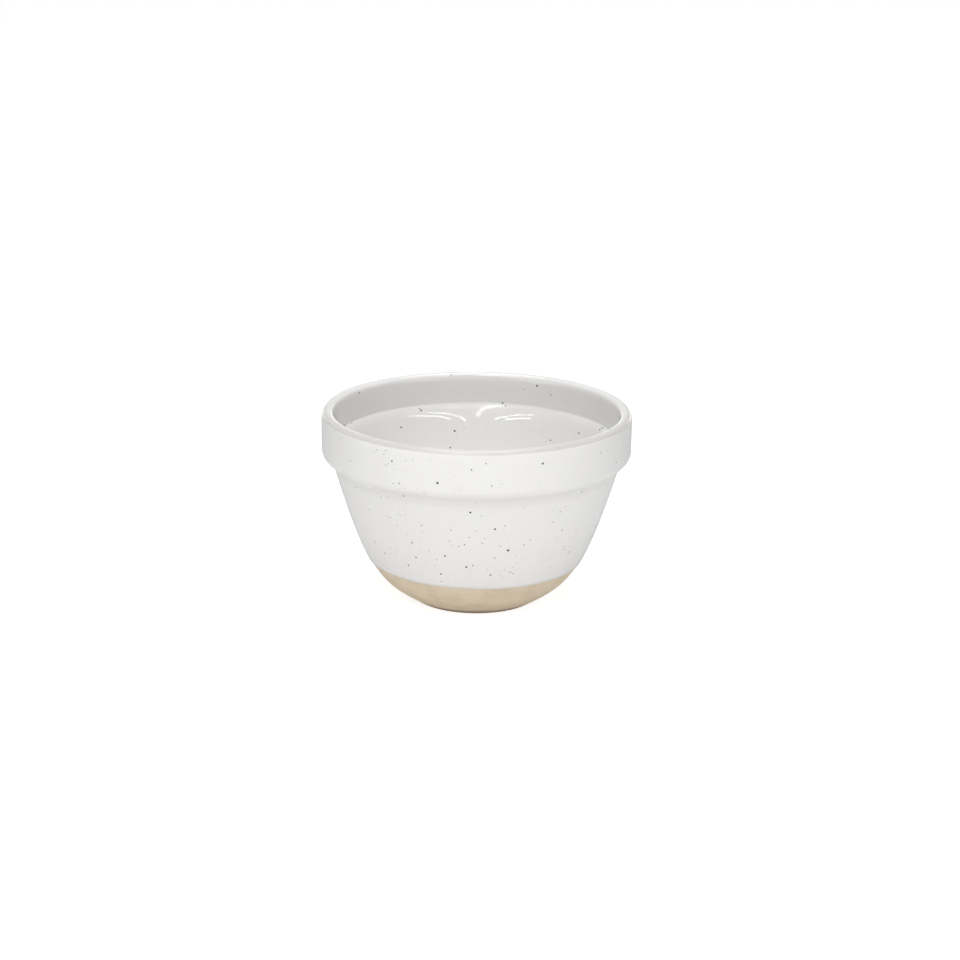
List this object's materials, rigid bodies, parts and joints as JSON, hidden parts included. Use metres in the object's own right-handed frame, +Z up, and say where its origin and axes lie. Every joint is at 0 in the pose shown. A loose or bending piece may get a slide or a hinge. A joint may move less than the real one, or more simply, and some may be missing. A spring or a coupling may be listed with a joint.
{
  "type": "prep bowl",
  "caption": "Small stoneware prep bowl with a straight collar under a rounded lip, a ledge inside, a white glaze with dark specks and a bare clay foot.",
  "frame": {"origin": "on the table, under the middle of the bowl", "axes": "+Z up along the bowl's axis; -Y is the side that faces the picture's camera"},
  "size_m": [0.15, 0.15, 0.094],
  "materials": {
    "bare_clay": "bare fired buff clay, fine sandy grain, matt",
    "outside_glaze": "white satin glaze with dark brown iron specks",
    "inside_glaze": "white gloss glaze with dark brown iron specks"
  },
  "bodies": {
    "root": {"clay_body": "bare_clay", "outside_glaze": "outside_glaze", "inside_glaze": "inside_glaze"}
  },
  "joints": []
}
